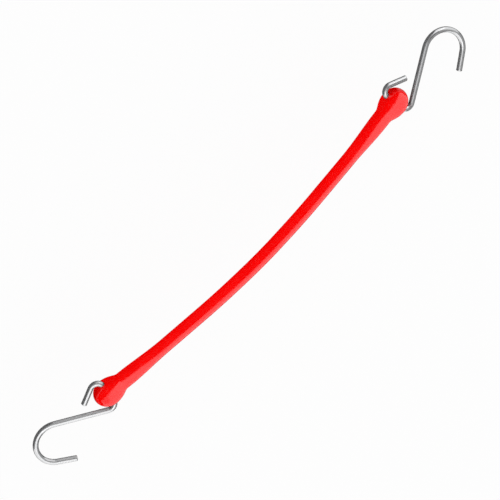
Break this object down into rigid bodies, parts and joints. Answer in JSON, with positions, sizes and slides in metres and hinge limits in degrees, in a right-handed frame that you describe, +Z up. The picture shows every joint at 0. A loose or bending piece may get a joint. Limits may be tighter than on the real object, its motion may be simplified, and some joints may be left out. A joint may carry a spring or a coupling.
{
  "type": "bungee cord",
  "caption": "Moulded elastic tie-down strap with a bulb head at each end and a swinging wire S-hook through each head, for holding loads under tension.",
  "frame": {"origin": "on the floor, under the middle of the whole part as it lies with its hooks out straight", "axes": "+X along the strap to the right hook, +Y towards the side the long legs of the hooks lie on, +Z up from the floor"},
  "size_m": [0.453, 0.0426, 0.021],
  "materials": {
    "strap_red": "semi-gloss moulded polyurethane",
    "hook_wire": "bright zinc-plated drawn wire"
  },
  "bodies": {
    "left_end": {"left_head": "strap_red", "elastic_shank": "strap_red"},
    "right_end": {"right_head": "strap_red"},
    "left_hook": {"left_hook": "hook_wire"},
    "right_hook": {"right_hook": "hook_wire"}
  },
  "joints": [
    {"name": "stretch", "type": "slide", "parent": "left_end", "child": "right_end", "axis": [1, 0, 0], "range_m": [0, 0.29], "stiffness_N_per_m": 1000, "deforming": ["elastic_shank"]},
    {"name": "left_hook_swing", "type": "hinge", "parent": "left_end", "child": "left_hook", "pos_m": [-0.15362, -0.00575, 0.0105], "axis": [0.1374, -0.9905, 0], "range_deg": [-150, 135]},
    {"name": "right_hook_swing", "type": "hinge", "parent": "right_end", "child": "right_hook", "pos_m": [0.15362, -0.00575, 0.0105], "axis": [0.1374, 0.9905, 0], "range_deg": [-150, 135]}
  ]
}
